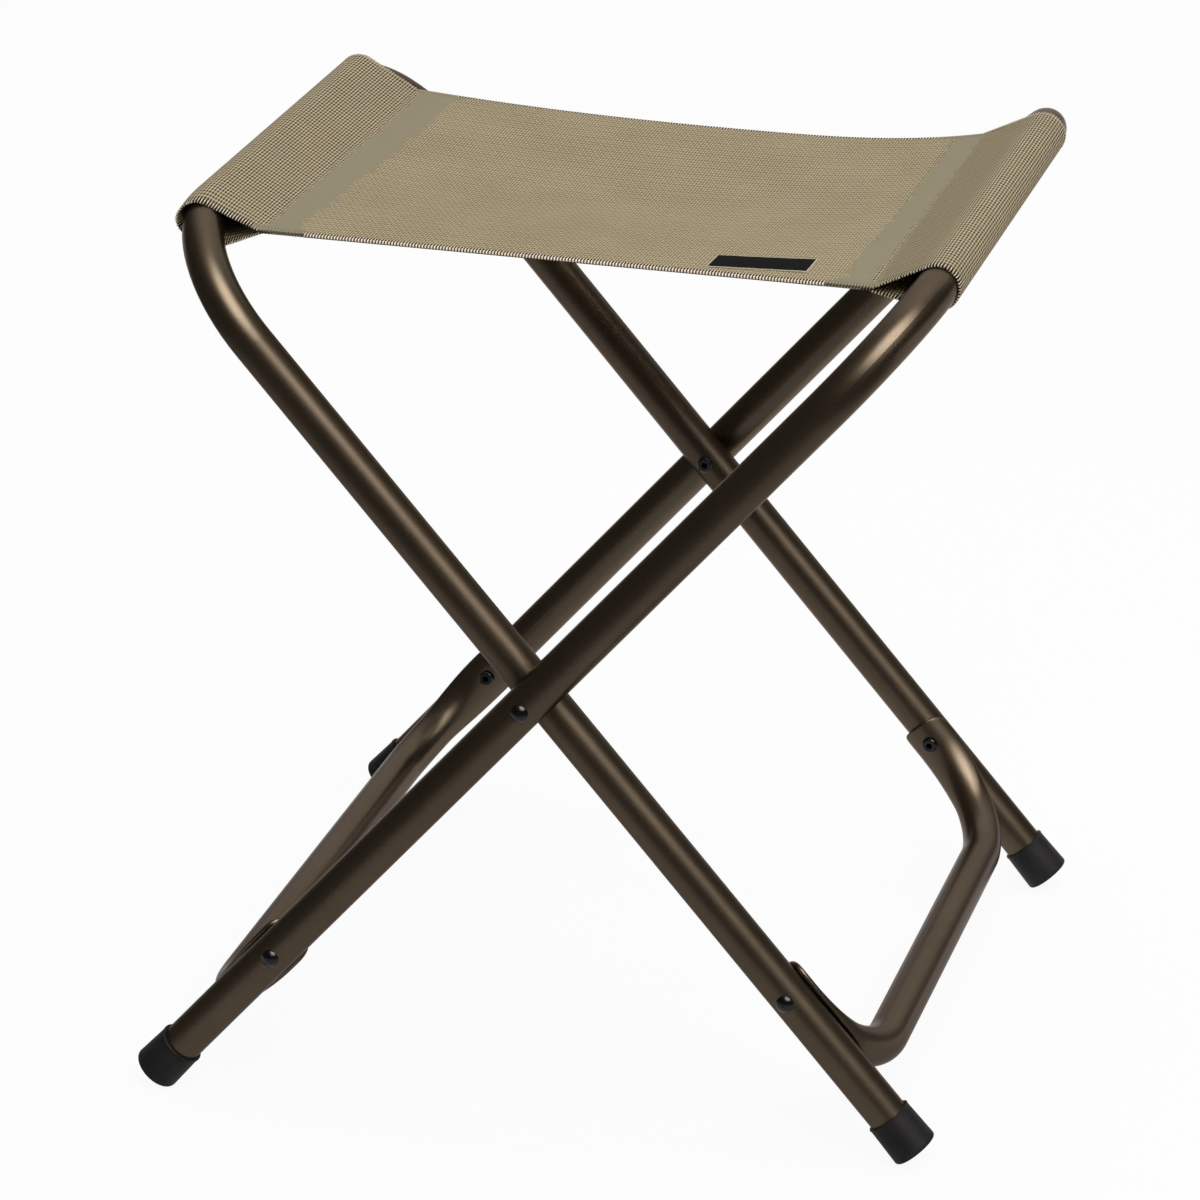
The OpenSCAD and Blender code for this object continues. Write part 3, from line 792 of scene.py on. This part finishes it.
def cloth_finish():
    """Coated mesh: cream cords along the rails with rows of holes between them, painted dark
    as painted shade, pressed smooth in the welds; every edge shows its cut or folded cords."""
    material = bpy.data.materials.new("khaki_cloth")
    g = ClothGraph(material)
    shader = g.tree.nodes["Principled BSDF"]
    cord = g.step(g.cords, -0.2, 0.8)
    rungs = g.rows(g.across, RUNG)
    gap = g.times(g.step(g.cords, 0.45, -0.35), g.step(rungs, 0.35, -0.25))
    stitch = stitch_holes(g)
    base = mesh_colour(g, cord, gap, rungs)
    base = painted_slope_shade(g, base)
    base = hem_colour(g, base)
    base = mouth_colour(g, base)
    # Painted shade: the stitch holes are painted dark, less so in the welds
    base = g.blend(g.times(stitch, g.scale(g.welded, -0.75, 0.95)), base, rgb(46, 37, 27))
    # Faint rows of thread show at the welds' ends
    rows = g.times(g.step(g.edge, *WELD_ROWS), g.step(g.rows(g.side, WELD_ROW_PITCH), 0.2, 0.9))
    base = g.blend(g.times(rows, g.welded, 0.30), base, rgb(112, 102, 80))
    base = g.blend(g.scale(g.uneven, 0.25, -0.06, clamp=True), base, rgb(118, 106, 80))

    g.feed(shader, "Base Color", base)
    g.feed(shader, "Roughness", g.scale(cord, -0.12, 0.82))
    shader.inputs["Specular IOR Level"].default_value = 0.05
    height = g.times(g.math("SUBTRACT", g.scale(g.ties, 0.3, cord), gap), g.open_mesh)
    height = g.math("SUBTRACT", height, stitch)
    g.feed(shader, "Normal", g.bump(height, 0.5, 0.0003, g.bump(g.uneven, 0.2, 0.0002)))
    return material


def fold_hem(bm, places, end):
    """Folds the panel's edge at end (-1 front, 1 rear) under it, between the welds."""
    reach = WELD_IN + HEM_UNDER_WELD
    edges = [e for e in bm.edges if e.is_boundary and all(
        abs(places[v][0]) < reach and abs(places[v][1] - end * HALF_W) < 1e-6 for v in e.verts)]
    bend = LAYER / 2
    # Each step's place, its drop below the panel and its place on the flat sheet
    steps = [(HALF_W + bend * math.sin(a), bend * (1 - math.cos(a)), HALF_W + bend * a)
             for a in (math.pi * i / FOLD_STEPS for i in range(1, FOLD_STEPS + 1))]
    turned = HALF_W + bend * math.pi
    steps += [(HALF_W - HEM_W * i / HEM_STEPS, LAYER, turned + HEM_W * i / HEM_STEPS)
              for i in range(1, HEM_STEPS + 1)]
    for y, drop, run in steps:
        made = bmesh.ops.extrude_edge_only(bm, edges=edges)["geom"]
        fresh = {g for g in made if isinstance(g, bmesh.types.BMVert)}
        twins = [(vert, next(e.other_vert(vert) for e in vert.link_edges
                             if e.other_vert(vert) in places)) for vert in fresh]
        for vert, twin in twins:
            u = places[twin][0]
            x = twin.co.x
            vert.co = (x, end * y, panel_z(x, end * min(y, HALF_W)) - drop)
            places[vert] = (u, end * run)
        edges = [g for g in made
                 if isinstance(g, bmesh.types.BMEdge) and fresh.issuperset(g.verts)]


def row_y(j):
    """Place of a row of points; the rows lie closer together toward the edges."""
    if j in (0, CLOTH_ROWS):
        return HALF_W if j else -HALF_W
    return HALF_W * math.sin(math.pi / 2 * (2 * j / CLOTH_ROWS - 1))


def thicken(made, thickness):
    """Gives a sheet its thickness, half to each side."""
    wall = made.modifiers.new("thickness", "SOLIDIFY")
    wall.thickness = thickness
    wall.offset = 0


def seat_cloth():
    """The whole sheet in one mesh: a grid of rows, with its hems folded under."""
    columns, rows = len(MIDDLE_ROW) - 1, CLOTH_ROWS
    bm = bmesh.new()
    bmesh.ops.create_grid(bm, x_segments=columns, y_segments=rows, size=1)
    strips, places = {}, {}
    for vert in bm.verts:
        i = round((vert.co.x + 1) / 2 * columns)
        j = round((vert.co.y + 1) / 2 * rows)
        y = row_y(j)
        if j not in strips:
            strips[j] = strip(y)
        x, z = strips[j][i]
        vert.co = (x, y, z)
        places[vert] = (ALONG[i], y)
    for end in (-1, 1):
        fold_hem(bm, places, end)
    layer = bm.loops.layers.uv.new("cloth")
    for face in bm.faces:
        for loop in face.loops:
            loop[layer].uv = places[loop.vert]
    bmesh.ops.recalc_face_normals(bm, faces=bm.faces)
    cloth = piece("seat_cloth", bm, khaki)
    thicken(cloth, CLOTH_T)
    return cloth


def cloth_place(run, y):
    """Point of the cloth at a distance along it and y: its place, direction and normal."""
    row = strip(y)
    i = next(i for i in range(1, len(ALONG)) if ALONG[i] >= run or i == len(ALONG) - 1)
    k = (run - ALONG[i - 1]) / (ALONG[i] - ALONG[i - 1])
    p, q = Vector((row[i - 1][0], y, row[i - 1][1])), Vector((row[i][0], y, row[i][1]))
    along = (q - p).normalized()
    return p.lerp(q, k), along, Vector((-along.z, 0, along.x))


# The cut ends of the cords: how far they stand out, how far they lean, and their size
CUT_SHORT, CUT_LONG = 0.0012, 0.0018
CUT_LEAN = 0.25
CUT_W, CUT_T = 0.00060, 0.00100
CUT_INSET = 0.0006
CUT_ROUND = 0.00012


def cut_cords():
    """Stubs of the cords that were cut at the sleeves' mouths."""
    random.seed(7)
    bm = bmesh.new()
    first = round(WELD_OUT / THREAD) + 1
    last = round(LAP_FROM / THREAD)
    for end in (-1, 1):
        for side in (-1, 1):
            for i in range(first, last):
                run = side * i * THREAD
                at, along, normal = cloth_place(run, end * HALF_W)
                long = random.uniform(CUT_SHORT, CUT_LONG)
                lean = random.uniform(-CUT_LEAN, CUT_LEAN)
                for vert in bmesh.ops.create_cube(bm, size=1)["verts"]:
                    u, w, h = vert.co
                    vert.co = (at + along * (u * CUT_W + lean * (w + 0.5) * CUT_W)
                               + Vector((0, end * ((w + 0.5) * long - CUT_INSET), 0))
                               + normal * h * CUT_T)
    bmesh.ops.bevel(bm, geom=list(bm.edges), affect="EDGES", offset=CUT_ROUND, segments=1,
                    profile=0.5, material=-1)
    bmesh.ops.recalc_face_normals(bm, faces=bm.faces)
    return piece("cut_cords", bm, cord_finish())


def cord_finish():
    """Fluffy cream cord, darker in patches."""
    material, g, shader, where = finish_on("cream_cord")
    fluff = g.noise(where, 2200.0, 2.0, 0.6)
    patch = g.noise(where, 300.0, 2.0, 0.5)
    base = g.blend(g.step(patch, 0.35, 0.65), rgb(226, 212, 184), rgb(198, 180, 148))
    g.feed(shader, "Base Color", g.blend(g.math("MULTIPLY", fluff, 0.5), base, rgb(128, 112, 86)))
    shader.inputs["Roughness"].default_value = 0.85
    g.feed(shader, "Normal", g.bump(fluff, 0.3, 0.0002))
    return material


# The label: its size, how far it lies in from the right weld and the front fold, how
# much it slants, how high it lies on the cloth, and the height of its faint waves
LABEL_L, LABEL_W, LABEL_T = 0.0470, 0.0220, 0.0004
LABEL_X = SEAM_X - SEAM_W - 0.0095 - LABEL_L / 2
LABEL_Y = -HALF_W + 0.0098 + LABEL_W / 2
LABEL_SKEW = 0.13
LABEL_LIFT = 0.00035
LABEL_WAVE = 0.00008
RIB, PICK = 0.0004, 0.0005


def label_finish():
    """Bare black woven tape with a thin pale cut edge."""
    material = bpy.data.materials.new("black_tape")
    g = Graph(material)
    shader = g.tree.nodes["Principled BSDF"]
    uv = g.add("UVMap", uv_map="tape")
    split = g.add("SeparateXYZ", uv)
    u, v = split.outputs[0], split.outputs[1]
    ribs = g.wave(g.math("DIVIDE", v, RIB))
    picks = g.wave(g.math("DIVIDE", u, PICK))
    wander = g.noise(uv, 900.0, 2.0, 0.6)
    rim = g.math("MAXIMUM",
                 g.math("SUBTRACT", g.math("ABSOLUTE", u), LABEL_L / 2),
                 g.math("SUBTRACT", g.math("ABSOLUTE", v), LABEL_W / 2))
    rim = g.step(g.scale(wander, 0.0003, rim), -0.00065, -0.00035)
    weave = g.scale(g.math("ADD", ribs, picks), 0.25, 0.5)
    base = g.blend(weave, rgb(5, 5, 6), rgb(14, 13, 14))
    g.feed(shader, "Base Color", g.blend(rim, base, rgb(205, 196, 172)))
    shader.inputs["Roughness"].default_value = 0.8
    shader.inputs["Specular IOR Level"].default_value = 0.04
    g.feed(shader, "Normal", g.bump(g.math("ADD", weave, wander), 0.3, 0.00015))
    return material


def bare_label():
    """A plain tape on the cloth's front edge."""
    bm = bmesh.new()
    bmesh.ops.create_grid(bm, x_segments=24, y_segments=10, size=0.5)
    layer = bm.loops.layers.uv.new("tape")
    for face in bm.faces:
        for loop in face.loops:
            u, v = loop.vert.co.x * LABEL_L, loop.vert.co.y * LABEL_W
            loop[layer].uv = (u, v)
    for vert in bm.verts:
        x = LABEL_X + vert.co.x * LABEL_L
        y = LABEL_Y + vert.co.y * LABEL_W + (x - LABEL_X) * LABEL_SKEW
        wave = LABEL_WAVE * math.sin(x * 700) * math.cos(y * 900)
        vert.co = (x, y, panel_z(x, y) + CLOTH_T / 2 + LABEL_LIFT + wave)
    tape = piece("bare_label", bm, label_finish())
    thicken(tape, LABEL_T)
    return tape


khaki = cloth_finish()
cloth = seat_cloth()
cords = cut_cords()
tape = bare_label()
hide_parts("left_sleeve", "right_sleeve", "seat_panel", "left_underlap",
            "right_underlap", "front_hem", "rear_hem")
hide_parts("label")
for soft, finish in ((cloth, "khaki_mesh"), (cords, "khaki_mesh"), (tape, "black_label")):
    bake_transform(soft)

scene.view_settings.view_transform = "Standard"
